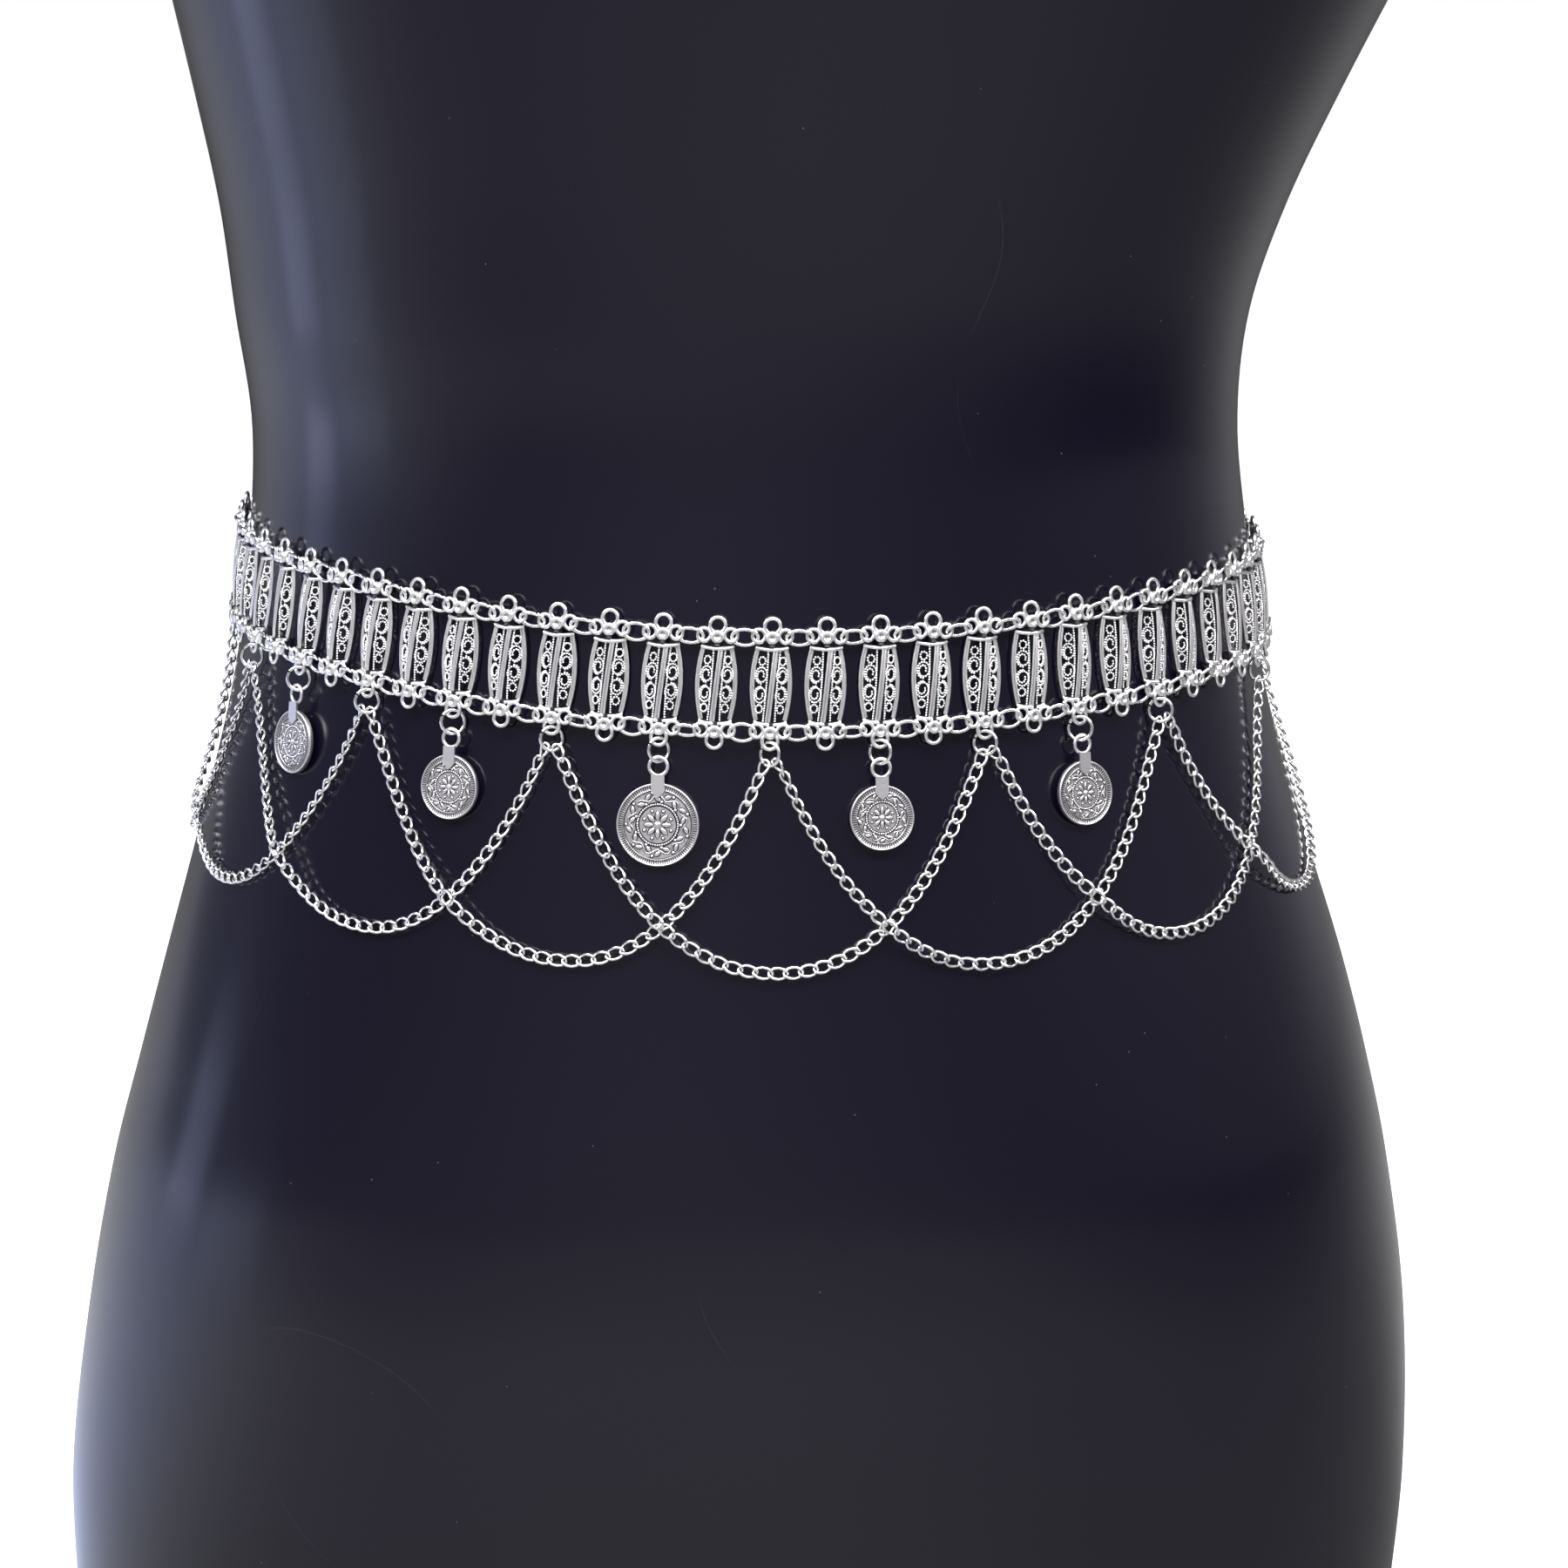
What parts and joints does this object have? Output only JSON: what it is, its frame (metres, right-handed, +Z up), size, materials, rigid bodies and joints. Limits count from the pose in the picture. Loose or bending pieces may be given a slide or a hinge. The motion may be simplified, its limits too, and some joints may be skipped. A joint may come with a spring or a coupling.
{
  "type": "waist chain on a limbless torso display form",
  "caption": "Silver waist chain of filigree plaques with coin pendants and looped curb chain, closed round a smooth black torso display form.",
  "frame": {"origin": "centre of the display form's flat base", "axes": "+Z up, -Y the front with the coins, +X to the right as seen from the front"},
  "size_m": [0.3256, 0.2468, 0.4],
  "materials": {
    "form": "polished black plastic",
    "plaques": "antique silver plate, bright on the high points and dark in the recesses",
    "rings_and_clasp": "bright silver plate",
    "swag_chain": "bright silver plate with dark gaps",
    "coins": "satin antique silver with dark recesses"
  },
  "bodies": {
    "belt_and_form": {"form": "form", "plaque_run_01": "plaques", "plaque_run_02": "plaques", "plaque_run_03": "plaques", "plaque_run_04": "plaques", "plaque_run_05": "plaques", "plaque_run_06": "plaques", "plaque_run_07": "plaques", "plaque_run_08": "plaques", "plaque_run_09": "plaques", "plaque_run_10": "plaques", "plaque_run_11": "plaques", "plaque_run_12": "plaques", "plaque_run_13": "plaques", "plaque_run_14": "plaques", "plaque_run_15": "plaques", "plaque_run_16": "plaques", "plaque_run_17": "plaques", "plaque_run_18": "plaques", "plaque_run_19": "plaques", "swag_ring_01": "rings_and_clasp", "swag_ring_02": "rings_and_clasp", "swag_ring_03": "rings_and_clasp", "swag_ring_04": "rings_and_clasp", "swag_ring_05": "rings_and_clasp", "swag_ring_06": "rings_and_clasp", "swag_ring_07": "rings_and_clasp", "swag_ring_08": "rings_and_clasp", "swag_ring_09": "rings_and_clasp", "swag_ring_10": "rings_and_clasp", "swag_01": "swag_chain", "swag_02": "swag_chain", "swag_03": "swag_chain", "swag_04": "swag_chain", "swag_05": "swag_chain", "swag_06": "swag_chain", "swag_07": "swag_chain", "swag_08": "swag_chain", "end_bail_left": "rings_and_clasp", "end_bail_right": "rings_and_clasp", "clasp_ring": "rings_and_clasp", "lobster_clasp": "rings_and_clasp"},
    "coin_1": {"coin_ring_01": "rings_and_clasp", "coin_01": "coins"},
    "coin_2": {"coin_ring_02": "rings_and_clasp", "coin_02": "coins"},
    "coin_3": {"coin_ring_03": "rings_and_clasp", "coin_03": "coins"},
    "coin_4": {"coin_ring_04": "rings_and_clasp", "coin_04": "coins"},
    "coin_5": {"coin_ring_05": "rings_and_clasp", "coin_05": "coins"}
  },
  "joints": [
    {"name": "coin_1_swing", "type": "hinge", "parent": "belt_and_form", "child": "coin_1", "pos_m": [-0.0992, -0.06228, 0.23421], "axis": [-0.6235, 0.7813, 0.0296], "range_deg": [0, 30]},
    {"name": "coin_2_swing", "type": "hinge", "parent": "belt_and_form", "child": "coin_2", "pos_m": [-0.0623, -0.09336, 0.22823], "axis": [-0.8824, 0.4695, 0.0296], "range_deg": [0, 30]},
    {"name": "coin_3_swing", "type": "hinge", "parent": "belt_and_form", "child": "coin_3", "pos_m": [-0.0163, -0.10843, 0.22397], "axis": [-0.9907, 0.133, 0.0296], "range_deg": [0, 30]},
    {"name": "coin_4_swing", "type": "hinge", "parent": "belt_and_form", "child": "coin_4", "pos_m": [0.03224, -0.10674, 0.2233], "axis": [-0.9783, -0.2051, 0.0296], "range_deg": [0, 30]},
    {"name": "coin_5_swing", "type": "hinge", "parent": "belt_and_form", "child": "coin_5", "pos_m": [0.07712, -0.08832, 0.22611], "axis": [-0.8413, -0.5397, 0.0296], "range_deg": [0, 30]}
  ]
}
